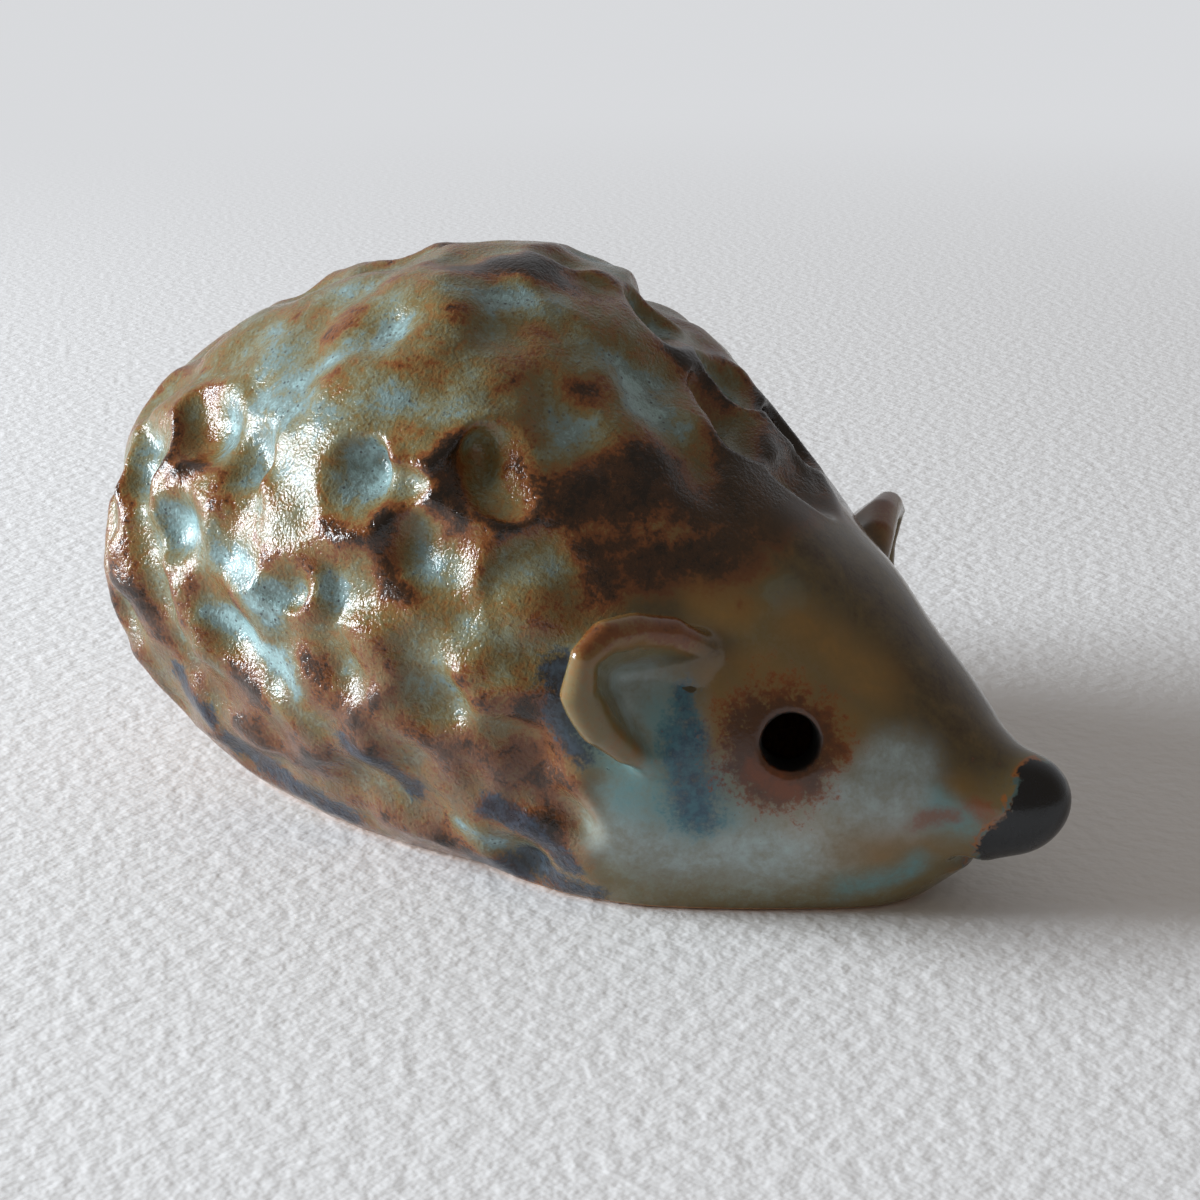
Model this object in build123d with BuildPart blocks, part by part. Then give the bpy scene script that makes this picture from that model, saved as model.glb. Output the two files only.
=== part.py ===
"""Hedgehog figurine: a small hollow ornament, hand-built in stoneware and glazed.

Two thin-walled pots make the back and the face. They are luted together along a leaning seam,
stand on a flat floor slab, and carry two ears and a nose. The quills are hollows pressed into the back.

Frame in millimetres: +X towards the nose, +Y to the animal's left, +Z up.
The origin lies on the table, under the middle of the animal.
"""
import os
from math import cos, hypot, radians, sin, sqrt

from numpy import interp

from build123d import *

# Body: reach behind and ahead of the origin, highest point, and half of the widest girth
rump_reach = 46.0
nose_reach = 46.0
crown_height = 50.0
half_girth = 26.0

# Clay: wall of the two pots, which is left thicker at the rump, and the place in percent where the
# hollow would end in the snout if that wall were thin; the floor slab; the section of the luting coils
wall = 5.0
rump_thickening = 1.3
hollow_end_along = 94.5
slab_thickness = 4.5
coil_width = 3.5
coil_height = 4.0

# Seam between the back and the face: where it stands on the table, and its forward lean
seam_foot_x = 9.5
seam_lean = 4.5

# Nose: an egg-shaped ball, tilted up, seated a little behind its middle on the flat end of the snout
nose_half_length = 6.5
nose_radius = 4.5
nose_axis_height = 9.9
nose_tilt = 15.0
nose_seat_setback = 0.4
snout_margin = 0.6
chin_step = 0.4

# Ears: cones pinched into half funnels that open ahead and a little down, placed along the body in
# percent and round it in degrees from the crest
ear_along = 74.1
ear_angle = 72.0
ear_height = 9.6
ear_root_depth = 3.0
ear_root_radius = 7.0
ear_tip_radius = 1.3
ear_tip_softness = 0.8
ear_splay = 58.0
ear_sweep = -5.0
ear_front = 0.8
ear_wall = 1.9
ear_hollow_drop = 20.0

# Eyes: round holes pierced through the wall, which also vent the hollow in the kiln
eye_along = 86.0
eye_angle = 70.5
eye_diameter = 4.6
eye_depth = 14.0

# Seat of the nose, and the radius of the ball where it is cut flat to sit there
nose_middle_x = nose_reach - hypot(
    nose_half_length * cos(radians(nose_tilt)), nose_radius * sin(radians(nose_tilt))
)
nose_seat_x = nose_middle_x - nose_seat_setback
nose_seat_radius = nose_radius * sqrt(1 - (nose_seat_setback / nose_half_length) ** 2)
body_length = rump_reach + nose_seat_x

# Drawn shape of the body: place along it in percent, then the top, the half girth, the widest line and
# the belly, as shares of the crown height and of the half girth. A belly below the table is cut flat.
rump_pole_height = 0.40
body_shape = [
    (3.5, 0.672, 0.592, 0.406, 0.190),
    (13.9, 0.848, 0.869, 0.412, -0.014),
    (29.3, 0.960, 0.962, 0.414, -0.128),
    (47.3, 1.000, 1.000, 0.404, -0.140),
    (57.3, 0.926, 0.962, 0.364, -0.140),
    (67.4, 0.800, 0.854, 0.292, -0.170),
    (77.8, 0.648, 0.658, 0.240, -0.150),
    (89.6, 0.482, 0.423, 0.208, -0.050),
]

# Thumb marks on the right side and the crest: place along the body in percent, angle round it from the
# crest in degrees, radius and depth of the mark
thumb_marks = [
    (43.6, 8, 4.5, 1.2), (54.2, 4, 4.2, 1.1), (60, -12, 4.5, 1.5), (32.9, 6, 4.5, 1.2), (22.3, 12, 4.6, 1.3),
    (48.4, 15, 5.0, 1.3), (31, 23, 4.6, 1.3), (64.9, 13, 4.8, 1.0), (69.7, -3, 4.2, 1.6), (71.7, 16, 3.4, 0.9),
    (76.5, -16, 3.6, 1.3), (11.6, 22, 4.4, 1.3), (23.2, 37, 4.8, 1.2), (42.6, 33, 5.2, 1.2), (33.9, 39, 4.5, 1.0),
    (59.1, 24, 4.5, 0.9), (61, 38, 4.2, 0.9), (51.3, 29, 4.0, 0.8), (12.6, 41, 4.4, 1.4), (32, 52, 4.8, 1.3),
    (39.7, 51, 4.5, 1.2), (50.4, 44, 4.8, 1.2), (57.1, 53, 4.6, 2.0), (20.3, 56, 4.6, 1.8), (65.8, 50, 4.2, 0.9),
    (12.6, 58, 4.2, 1.5), (33.9, 63, 3.6, 1.0), (41.6, 64, 4.2, 1.4), (52.3, 68, 4.6, 1.8), (62.9, 63, 4.4, 1.0),
    (28.1, 69, 4.4, 1.5), (20.3, 73, 4.4, 1.5), (13.6, 74, 3.8, 1.3), (6.8, 60, 3.8, 1.3), (36.8, 79, 4.4, 1.4),
    (43.6, 80, 4.2, 1.2), (50.4, 83, 4.2, 1.2), (57.1, 78, 4.0, 1.1), (64.9, 76, 3.8, 1.0), (24.2, 86, 4.4, 1.2),
    (16.5, 88, 4.2, 1.3), (7.7, 77, 3.8, 1.3), (30, 92, 4.6, 1.2), (37.8, 97, 4.4, 1.2), (45.5, 96, 4.6, 1.1),
    (56.2, 93, 4.6, 1.3), (64.9, 91, 4.6, 1.2), (21.3, 101, 4.4, 1.2), (12.6, 102, 4.2, 1.2), (27.1, 110, 4.8, 1.1),
    (34.9, 111, 4.6, 1.1), (42.6, 106, 4.4, 1.0), (51.3, 107, 4.6, 1.1), (59.1, 104, 4.6, 1.1), (65.8, 104, 4.0, 1.0),
    (17.4, 114, 4.4, 1.1), (46.5, 119, 5.2, 1.2), (55.2, 119, 4.8, 1.1), (62.9, 119, 4.6, 1.1), (37.8, 124, 4.4, 1.0),
    (29, 123, 4.6, 1.0),
]
# The left side repeats the marks past this angle, each moved a little so that the sides don't match
crest_angle = 16.0
left_shift_along = 2.0
left_shift_angle = 4.0
left_phase_along = 1.7
left_phase_angle = 2.3

table = Plane.XY
slab_top = Plane.XY.offset(slab_thickness)
seam = Plane(
    origin=(seam_foot_x, 0, 0),
    x_dir=(0, 1, 0),
    z_dir=(cos(radians(seam_lean)), 0, -sin(radians(seam_lean))),
)


def place_x(along):
    """The place along the body, in millimetres from the origin."""
    return body_length * along / 100 - rump_reach


def section(x, top, half_width, waist, belly):
    """An upright slice of the body: an upper and a lower half ellipse on one widest line."""
    with BuildSketch(Plane(origin=(x, 0, waist), x_dir=(0, 1, 0), z_dir=(1, 0, 0))) as slice_across:
        with BuildLine():
            EllipticalCenterArc((0, 0), half_width, top - waist, start_angle=0, arc_size=180)
            EllipticalCenterArc((0, 0), half_width, waist - belly, start_angle=180, arc_size=180)
        make_face()
    return slice_across.sketch


stations = [
    (place_x(along), top * crown_height, wide * half_girth, waist * crown_height, belly * crown_height)
    for along, top, wide, waist, belly in body_shape
]
snout_end = (
    nose_seat_x,
    nose_axis_height + nose_seat_radius + snout_margin,
    nose_seat_radius + snout_margin,
    nose_axis_height,
    nose_axis_height - nose_seat_radius - chin_step,
)

# Smooth outer form of the whole body, cut flat at the table
with BuildPart() as smooth_form:
    rump = Vertex(-rump_reach, 0, rump_pole_height * crown_height)
    loft([rump] + [section(*station) for station in stations] + [section(*snout_end)])
    split(bisect_by=table, keep=Keep.TOP)


def skin(along, angle):
    """A point of the smooth form and its outward normal; the angle runs from the crest to the right."""
    x = place_x(along)
    columns = zip(*stations, snout_end)
    places = [station[0] for station in stations] + [nose_seat_x]
    _, top, half_width, waist, belly = (interp(x, places, column) for column in columns)
    reach = top - waist if cos(radians(angle)) > 0 else waist - belly
    outward = Vector(0, -half_width * sin(radians(angle)), reach * cos(radians(angle)))
    ray = Axis((x, 0, waist), tuple(outward))
    hits = smooth_form.part.shell().find_intersection_points(ray)
    return max(hits, key=lambda hit: (hit[0] - Vector(x, 0, waist)).dot(outward))


def hollow(inset):
    """The inside of the pots, the given distance within the outer form and open down to the slab."""
    with BuildPart() as inside:
        rear = Vertex(-rump_reach + rump_thickening * inset, 0, rump_pole_height * crown_height)
        front = Vertex(place_x(hollow_end_along) - inset, 0, nose_axis_height)
        slices = [
            section(x, top - inset, half_width - inset, waist, belly + inset)
            for x, top, half_width, waist, belly in stations[1:-1]
        ]
        loft([rear] + slices + [front])
        split(bisect_by=slab_top, keep=Keep.TOP)
    return inside.part


def thumb(along, angle, radius, depth):
    """The ball that presses one mark: it meets the skin in a ring of the mark's radius."""
    point, normal = skin(along, angle)
    ball = (radius**2 + depth**2) / (2 * depth)
    place = Plane(origin=point + normal * (ball - depth), x_dir=normal, z_dir=normal.cross(Vector(1, 0, 0)))
    return place * Sphere(ball, mode=Mode.PRIVATE)


left_marks = [
    (
        along + left_shift_along * sin(left_phase_along * k),
        -angle + left_shift_angle * cos(left_phase_angle * k),
        radius,
        depth,
    )
    for k, (along, angle, radius, depth) in enumerate(thumb_marks)
    if angle > crest_angle
]

# Outer form with the quill hollows pressed in
with BuildPart() as pressed_form:
    add(smooth_form.part)
    add([thumb(*mark) for mark in thumb_marks + left_marks], mode=Mode.SUBTRACT)

inside = hollow(wall)
inside_coil = hollow(wall + coil_width)

with BuildPart() as base_slab:
    add(pressed_form.part)
    split(bisect_by=slab_top, keep=Keep.BOTTOM)

with BuildPart() as back_shell:
    add(pressed_form.part)
    split(bisect_by=slab_top, keep=Keep.TOP)
    split(bisect_by=seam, keep=Keep.BOTTOM)
    add(inside, mode=Mode.SUBTRACT)


def eye_plane(side):
    """The mouth of an eye hole, looking out of the head."""
    point, normal = skin(eye_along, side * eye_angle)
    return Plane(origin=point, z_dir=normal)


with BuildPart() as face_shell:
    add(pressed_form.part)
    split(bisect_by=slab_top, keep=Keep.TOP)
    split(bisect_by=seam, keep=Keep.TOP)
    add(inside, mode=Mode.SUBTRACT)
    with Locations(eye_plane(1), eye_plane(-1)):
        Cylinder(eye_diameter / 2, 2 * eye_depth, mode=Mode.SUBTRACT)


def ear(side):
    """A cone of clay luted to the head, cut open ahead and hollowed so that its rim stands as a C."""
    root, _ = skin(ear_along, side * ear_angle)
    back = sin(radians(ear_sweep))
    level = cos(radians(ear_sweep))
    axis = Vector(-back, -side * level * sin(radians(ear_splay)), level * cos(radians(ear_splay)))
    down = Vector(0, -side * cos(radians(ear_splay)), -sin(radians(ear_splay)))
    ahead = Vector(1, 0, 0) * cos(radians(ear_hollow_drop)) + down * sin(radians(ear_hollow_drop))
    length = ear_height + ear_root_depth
    with BuildPart() as piece:
        with Locations(Plane(origin=root - axis * ear_root_depth, z_dir=axis)):
            Cone(ear_root_radius, ear_tip_radius, length, align=(Align.CENTER, Align.CENTER, Align.MIN))
        tip_edge = piece.edges().filter_by(GeomType.CIRCLE).sort_by(Edge.radius)[0]
        fillet(tip_edge, ear_tip_softness * ear_tip_radius)
        split(bisect_by=Plane(origin=root + ahead * ear_front, z_dir=ahead), keep=Keep.BOTTOM)
        inside_length = length * (ear_root_radius - ear_wall) / (ear_root_radius - ear_tip_radius)
        with Locations(Plane(origin=root - axis * ear_root_depth + ahead * ear_front, z_dir=axis)):
            Cone(
                ear_root_radius - ear_wall,
                0,
                inside_length,
                align=(Align.CENTER, Align.CENTER, Align.MIN),
                mode=Mode.SUBTRACT,
            )
        add(pressed_form.part, mode=Mode.SUBTRACT)
    return piece


right_ear = ear(1)
left_ear = ear(-1)

# Nose: half an egg outline turned about its own tilted axis, cut flat at its seat
nose_middle = (nose_middle_x, 0, nose_axis_height)
nose_ahead = (cos(radians(nose_tilt)), 0, sin(radians(nose_tilt)))
with BuildPart() as nose_tip:
    with BuildSketch(Plane(origin=nose_middle, x_dir=nose_ahead, z_dir=(0, -1, 0))):
        with BuildLine():
            EllipticalCenterArc((0, 0), nose_half_length, nose_radius, start_angle=0, arc_size=180)
            Line((-nose_half_length, 0), (nose_half_length, 0))
        make_face()
    revolve(axis=Axis(nose_middle, nose_ahead))
    split(bisect_by=Plane(origin=(nose_seat_x, 0, 0), z_dir=(1, 0, 0)), keep=Keep.TOP)

# Coil pressed into the corner between the walls and the floor
with BuildPart() as floor_coil:
    add(inside)
    split(bisect_by=slab_top.offset(coil_height), keep=Keep.BOTTOM)
    add(inside_coil, mode=Mode.SUBTRACT)

# Coil pressed over the inside of the seam, from the floor coil up one side, over and down the other
with BuildPart() as seam_coil:
    add(inside)
    split(bisect_by=slab_top.offset(coil_height), keep=Keep.TOP)
    split(bisect_by=seam.offset(-coil_height), keep=Keep.TOP)
    split(bisect_by=seam.offset(coil_height), keep=Keep.BOTTOM)
    add(inside_coil, mode=Mode.SUBTRACT)

pieces = {
    "back_shell": back_shell,
    "face_shell": face_shell,
    "base_slab": base_slab,
    "right_ear": right_ear,
    "left_ear": left_ear,
    "nose_tip": nose_tip,
    "seam_coil": seam_coil,
    "floor_coil": floor_coil,
}
os.makedirs("parts", exist_ok=True)
for name, piece in pieces.items():
    piece.part.label = name
    export_step(piece.part, f"parts/{name}.step")
    print(name, len(piece.part.solids()), "solid,", round(piece.part.volume / 1000, 2), "cm3")
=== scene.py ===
# %% [markdown]
# # A hand-pressed stoneware hedgehog
#
# The figurine is a hollow lump of clay the length of a finger. Its quills are thumb marks, its ears are
# cupped flaps, its eyes are pierced with a stick, and a runny glaze has pooled blue-green in every hollow
# and broken to rust on every ridge. There is no straight edge on it, so it is sculpted here as real clay
# is: start from a smooth lump, push and pull it, and only at the end ask for a mesh.
#
# The imported CAD model is the frame that everything has to fit. It is loaded first.

# %% Load the frame
import math

import bmesh
import bpy
import numpy as np
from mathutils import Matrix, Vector


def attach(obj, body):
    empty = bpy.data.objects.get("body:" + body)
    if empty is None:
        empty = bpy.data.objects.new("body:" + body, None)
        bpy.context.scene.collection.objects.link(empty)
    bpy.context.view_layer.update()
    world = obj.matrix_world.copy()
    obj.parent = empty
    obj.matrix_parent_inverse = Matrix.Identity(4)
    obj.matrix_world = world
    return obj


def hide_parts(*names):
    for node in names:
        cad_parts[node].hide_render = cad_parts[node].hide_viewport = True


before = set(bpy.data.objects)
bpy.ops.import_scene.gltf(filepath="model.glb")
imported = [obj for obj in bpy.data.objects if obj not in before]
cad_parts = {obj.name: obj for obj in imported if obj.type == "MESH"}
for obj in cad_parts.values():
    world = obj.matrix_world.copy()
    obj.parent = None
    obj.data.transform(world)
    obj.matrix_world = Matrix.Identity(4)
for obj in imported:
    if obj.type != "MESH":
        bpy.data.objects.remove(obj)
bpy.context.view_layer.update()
MM = 0.001


def add_object(name, data):
    """A new object in the scene."""
    made = bpy.data.objects.new(name, data)
    bpy.context.scene.collection.objects.link(made)
    return made


def turn_towards(thing, aim):
    """Points a camera or a lamp at a place."""
    thing.rotation_euler = (aim - thing.location).to_track_quat("-Z", "Y").to_euler()


# %% [markdown]
# ## Camera
#
# A camera could be placed by eye, but an outline of the real object fixes it much better: the angles,
# distance and field of view below are the ones at which the body's outline lies best on the figurine's. The
# aim is moved a little to the right of the body's middle and below it, and no lens shift is used.

# %% Camera
AZIMUTH = math.radians(34.5)
ELEVATION = math.radians(18.62)
DISTANCE = 197.6 * MM
FIELD_OF_VIEW = math.radians(30.04)
BODY_MIDDLE = Vector((-1.0, 0, 22)) * MM
AIM_RIGHT = 1.69 * MM
AIM_UP = -2.91 * MM
CLIP_START = 10 * MM

to_camera = Vector((
    math.sin(AZIMUTH) * math.cos(ELEVATION),
    -math.cos(AZIMUTH) * math.cos(ELEVATION),
    math.sin(ELEVATION),
))
view_right = Vector((math.cos(AZIMUTH), math.sin(AZIMUTH), 0))
view_up = to_camera.cross(view_right)
camera = add_object("camera", bpy.data.cameras.new("camera"))
camera.location = BODY_MIDDLE + to_camera * DISTANCE
turn_towards(camera, BODY_MIDDLE + view_right * AIM_RIGHT + view_up * AIM_UP)
camera.data.angle = FIELD_OF_VIEW
camera.data.clip_start = CLIP_START
bpy.context.scene.camera = camera
print("camera at", [round(c / MM) for c in camera.location], "mm, lens", round(camera.data.lens, 1), "mm")

# %% [markdown]
# ## The smooth lump
#
# Before any thumb touches it, the body is an egg with a snout. Eight slices across it say how high, how
# wide and how deep it is, exactly as the CAD sections do. Each slice is an upper and a lower half ellipse
# that share a widest line. A cubic curve through the slices makes the egg smooth between them.
#
# The curves are kept for the *squares* of the half widths. A square falls to zero in a straight line at the
# rump, where the half width itself would turn vertical, so the egg closes there with a round end.

# %% Slices of the body, in millimetres
RUMP_REACH = 46.0
NOSE_REACH = 46.0
CROWN = 50.0
HALF_GIRTH = 26.0
NOSE_HALF_LENGTH = 6.5
NOSE_RADIUS = 4.5
NOSE_HEIGHT = 9.9
NOSE_TILT = math.radians(15)
NOSE_SETBACK = 0.4
SNOUT_MARGIN = 0.6
CHIN_STEP = 0.4
NOSE_REACH_AHEAD = math.hypot(NOSE_HALF_LENGTH * math.cos(NOSE_TILT), NOSE_RADIUS * math.sin(NOSE_TILT))
NOSE_MIDDLE = NOSE_REACH - NOSE_REACH_AHEAD
NOSE_SEAT = NOSE_MIDDLE - NOSE_SETBACK
BODY_LENGTH = RUMP_REACH + NOSE_SEAT
RUMP_HEIGHT = 0.40 * CROWN
SLOPE_FLOOR = 1e-6
LENGTH_FLOOR = 1e-9

# percent along the body, then top, half girth, widest line and belly in shares of crown and half girth
BODY_SHAPE = [
    (3.5, 0.672, 0.592, 0.406, 0.190),
    (13.9, 0.848, 0.869, 0.412, -0.014),
    (29.3, 0.960, 0.962, 0.414, -0.128),
    (47.3, 1.000, 1.000, 0.404, -0.140),
    (57.3, 0.926, 0.962, 0.364, -0.140),
    (67.4, 0.800, 0.854, 0.292, -0.170),
    (77.8, 0.648, 0.658, 0.240, -0.150),
    (89.6, 0.482, 0.423, 0.208, -0.050),
]
seat_radius = NOSE_RADIUS * math.sqrt(1 - (NOSE_SETBACK / NOSE_HALF_LENGTH) ** 2)
snout_end = (
    100,
    (NOSE_HEIGHT + seat_radius + SNOUT_MARGIN) / CROWN,
    (seat_radius + SNOUT_MARGIN) / HALF_GIRTH,
    NOSE_HEIGHT / CROWN,
    (NOSE_HEIGHT - seat_radius - CHIN_STEP) / CROWN,
)
along, top, wide, waist, belly = np.array(BODY_SHAPE + [snout_end]).T
top, waist, belly, wide = top * CROWN, waist * CROWN, belly * CROWN, wide * HALF_GIRTH
slice_x = along / 100 * BODY_LENGTH - RUMP_REACH


def curve_through(knots, values):
    """The natural cubic through the knots, as a function that gives its value and its slope at x."""
    gap = np.diff(knots)
    rise = np.diff(values) / gap
    last = len(knots) - 1
    system = np.eye(last + 1)
    bend = np.zeros(last + 1)
    for i in range(1, last):
        system[i, i - 1:i + 2] = gap[i - 1], 2 * (gap[i - 1] + gap[i]), gap[i]
        bend[i] = 3 * (rise[i] - rise[i - 1])
    bend = np.linalg.solve(system, bend)

    def at(x):
        i = np.clip(np.searchsorted(knots, x) - 1, 0, last - 1)
        t = x - knots[i]
        first = rise[i] - gap[i] * (2 * bend[i] + bend[i + 1]) / 3
        third = (bend[i + 1] - bend[i]) / (3 * gap[i])
        value = values[i] + t * (first + t * (bend[i] + t * third))
        return value, first + t * (2 * bend[i] + 3 * t * third)

    return at


knots = np.concatenate([[-RUMP_REACH], slice_x])
rise_ratio = ((top - waist) / wide) ** 2
drop_ratio = ((waist - belly) / wide) ** 2
girth_at = curve_through(knots, np.concatenate([[0], wide**2]))
rise_at = curve_through(knots, np.concatenate([rise_ratio[:1], rise_ratio]))
drop_at = curve_through(knots, np.concatenate([drop_ratio[:1], drop_ratio]))
waist_at = curve_through(knots, np.concatenate([[RUMP_HEIGHT], waist]))


def lump(x, y, z):
    """Distance to the smooth body in millimetres, negative inside it."""
    (girth, d_girth), (rise, d_rise), (drop, d_drop), (mid, d_mid) = (
        curve(x) for curve in (girth_at, rise_at, drop_at, waist_at)
    )
    above = z > mid
    ratio = np.where(above, rise, drop)
    value = ratio * (y * y - girth) + (z - mid) ** 2
    slope_x = np.where(above, d_rise, d_drop) * (y * y - girth) - ratio * d_girth - 2 * (z - mid) * d_mid
    slope = np.sqrt(slope_x**2 + (2 * ratio * y) ** 2 + 4 * (z - mid) ** 2 + SLOPE_FLOOR)
    return value / slope


def skin(along, angle):
    """Points on the smooth body: percent along it, degrees round it from the crest, positive to its right."""
    x = np.asarray(along, float) / 100 * BODY_LENGTH - RUMP_REACH
    turn = np.radians(angle)
    half = np.sqrt(np.maximum(girth_at(x)[0], 0))
    ratio = np.where(np.cos(turn) > 0, rise_at(x)[0], drop_at(x)[0])
    return np.stack([x, -half * np.sin(turn), waist_at(x)[0] + half * np.sqrt(ratio) * np.cos(turn)], -1)


def unit(ways):
    """Vectors scaled to a length of 1."""
    return ways / np.maximum(np.linalg.norm(ways, axis=-1, keepdims=True), LENGTH_FLOOR)


def outward(points, reach=0.05):
    """The directions straight out of the smooth body at one point or many."""
    steps = np.eye(3) * reach
    return unit(np.stack([lump(*(points + s).T) - lump(*(points - s).T) for s in steps], -1))


print("crest", skin(47.3, 0).round(1), "side", skin(47.3, 90).round(1), "snout", skin(100, 0).round(1))

# %% [markdown]
# ## A block of clay to carve
#
# A mesh is a poor thing to press thumbs into. Booleans leave ragged seams, and sculpt strokes can't be
# written down. A *distance field* is better: a block of small cells, each holding how far it is from the
# surface. Joining, carving and softening are then one line of arithmetic each, and a mesh can be pulled out
# of the block afterwards.
#
# `soften_max` carves one shape out of another and rounds the edge that is left, as a glaze does.

# %% The block and its tools
CELL = 0.36
MARGIN = 1.6
low = np.array([-RUMP_REACH, -HALF_GIRTH - 1, 0]) - MARGIN
high = np.array([NOSE_REACH, HALF_GIRTH + 1, CROWN + 1]) + MARGIN
axes = [np.arange(a, b, CELL) for a, b in zip(low, high)]
X, Y, Z = np.meshgrid(*axes, indexing="ij", sparse=True)
clay = lump(X, Y, Z).astype(np.float32)


def soften_max(a, b, round_edge):
    """The larger of two distances, which carves, with the edge between them rounded off."""
    overlap = np.maximum(round_edge - np.abs(a - b), 0)
    return np.maximum(a, b) + overlap**2 / (4 * round_edge)


def soften_min(a, b, round_edge):
    """The smaller of two distances, which joins, with the corner between them filled."""
    return -soften_max(-a, -b, round_edge)


def ramp(value, start, end):
    """Goes from 0 at start to 1 at end, and stays there."""
    return np.clip((value - start) / (end - start), 0, 1)


def around(centre, reach):
    """The part of the block within reach of a point, as slices, and its offsets from that point."""
    part, near = [], []
    for k, (axis, c) in enumerate(zip(axes, centre)):
        span = slice(*np.searchsorted(axis, [c - reach, c + reach]))
        part.append(span)
        near.append((axis[span] - c).reshape(np.roll([-1, 1, 1], k)))
    return tuple(part), near


def ripple(x, y, z, length, seed, waves=12):
    """Smooth seeded unevenness between about -1 and 1: waves of about one length in many directions."""
    rng = np.random.default_rng(seed)
    total = 0
    for _ in range(waves):
        way = rng.normal(size=3)
        way *= 2 * np.pi / length * rng.uniform(0.7, 1.3) / np.linalg.norm(way)
        total = total + np.sin(x * way[0] + y * way[1] + z * way[2] + rng.uniform(0, 2 * np.pi))
    return total / np.sqrt(2 * waves)


print("block of", " x ".join(str(n) for n in clay.shape), "cells")

# %% [markdown]
# ## Thumb marks
#
# Each mark is a ball pressed into the skin until it meets it in a ring of the mark's own radius. The clay
# that a thumb pushes out of the way has to go somewhere, so a low lip rises round the mark before it is
# pressed. The marks are read off the right side of the animal. They began as the CAD's list, and many were
# then moved, flattened or added after a closer look. The left side repeats them, a little moved.

# %% Press the thumb marks
# percent along the body, degrees round it from the crest, then radius and depth in millimetres
THUMB_MARKS = [
    # over the crest, where they notch the outline
    (43.6, 8, 4.5, 1.2), (54.2, 4, 4.2, 1.3), (60, -12, 4.5, 1.6), (32.9, 6, 4.5, 1.0),
    (22.3, 12, 4.6, 1.0), (48.4, 17, 4.4, 0.9), (69.7, -3, 4.2, 1.8), (71.7, 16, 3.2, 0.9),
    (76.5, -14, 3.4, 1.6), (64.9, 10, 4.2, 0.8), (37.5, -8, 3.4, 1.4), (49, -7, 3.4, 1.5),
    (27.5, -5, 3.4, 1.3), (17, 1, 3.4, 1.3), (55.5, -22, 3.4, 1.6), (66, -17, 3.4, 1.7),
    (71.5, -26, 3.2, 1.6),
    # the calm top of the flank, with soft dips only
    (31, 23, 4.6, 0.5), (11.6, 22, 4.4, 0.9), (23.2, 35, 4.8, 0.5), (42.6, 33, 5.2, 0.4),
    (33.9, 39, 4.5, 0.4), (59.1, 24, 4.5, 0.4), (62.7, 38, 3.6, 0.5), (51.3, 29, 4.0, 0.4),
    (12.6, 40, 4.4, 0.9), (32, 50, 4.8, 0.3), (50.4, 43, 4.8, 0.3),
    # the deep marks of the flank
    (58.1, 49.5, 3.9, 1.9), (54.7, 68.5, 4.0, 1.8), (45.8, 61.5, 3.9, 1.3), (51.6, 59.5, 2.6, 1.2),
    (38.3, 62, 2.7, 0.6), (22.8, 54, 4.6, 1.9), (29.5, 60.5, 4.3, 1.5), (14.2, 57, 3.8, 1.6),
    (22.4, 76, 3.7, 1.5), (31.8, 74.5, 4.3, 1.3), (15.8, 80, 3.4, 1.4), (46.1, 77.5, 4.2, 1.0),
    (38.3, 81, 2.6, 1.1), (64.4, 58.5, 3.6, 0.6), (64, 73, 3.8, 0.7), (6.8, 62, 3.8, 1.4),
    (13.6, 68, 3.0, 1.2), (7.7, 79, 3.8, 1.3),
    # lower down, broad and shallow
    (53.5, 84, 4.2, 0.9), (57.1, 79, 3.6, 0.8), (24.2, 87, 4.2, 1.0), (16.5, 91, 4.2, 1.1),
    (30, 92, 4.6, 1.0), (37.8, 97, 4.4, 1.0), (45.5, 94, 4.6, 0.9), (56.2, 93, 4.6, 1.2),
    (64.9, 91, 4.6, 1.1), (21.3, 101, 4.4, 1.0), (12.6, 103, 4.2, 1.0), (27.1, 110, 4.8, 1.0),
    (34.9, 111, 4.6, 1.0), (42.6, 106, 4.4, 0.9), (51.3, 107, 4.6, 1.1), (59.1, 104, 4.6, 1.1),
    (65.8, 104, 4.0, 1.0), (17.4, 114, 4.4, 1.0), (46.5, 119, 5.2, 1.1), (55.2, 119, 4.8, 1.0),
    (62.9, 119, 4.6, 1.0), (37.8, 124, 4.4, 0.9), (29, 123, 4.6, 0.9),
]
CREST_ANGLE = 16
LEFT_SHIFT_ALONG = 2.0
LEFT_SHIFT_ANGLE = 4.0
LEFT_PHASE_ALONG = 1.7
LEFT_PHASE_ANGLE = 2.3
PRESS_MARGIN = 3.0
left_marks = [
    (
        place + LEFT_SHIFT_ALONG * math.sin(LEFT_PHASE_ALONG * k),
        -angle + LEFT_SHIFT_ANGLE * math.cos(LEFT_PHASE_ANGLE * k),
        radius,
        depth,
    )
    for k, (place, angle, radius, depth) in enumerate(THUMB_MARKS)
    if angle > CREST_ANGLE
]
marks = THUMB_MARKS + left_marks
SWAY = 0.9
SWAY_LENGTH = 8.0
sway = [(SWAY * ripple(X, Y, Z, SWAY_LENGTH, seed)).astype(np.float32) for seed in (1, 2, 3)]


def swayed_reach(centre, reach):
    """The part of the block near a point, and its distance to the point through the uneven clay."""
    part, near = around(centre, reach)
    return part, np.sqrt(sum((d + s[part]) ** 2 for d, s in zip(near, sway)))


def press(point, way, radius, depth, edge):
    """Presses a ball into the clay until its ring on the skin has the radius."""
    ball = (radius**2 + depth**2) / (2 * depth)
    part, away = swayed_reach(point + way * (ball - depth), ball + PRESS_MARGIN)
    clay[part] = soften_max(clay[part], (ball - away).astype(np.float32), edge)


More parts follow.
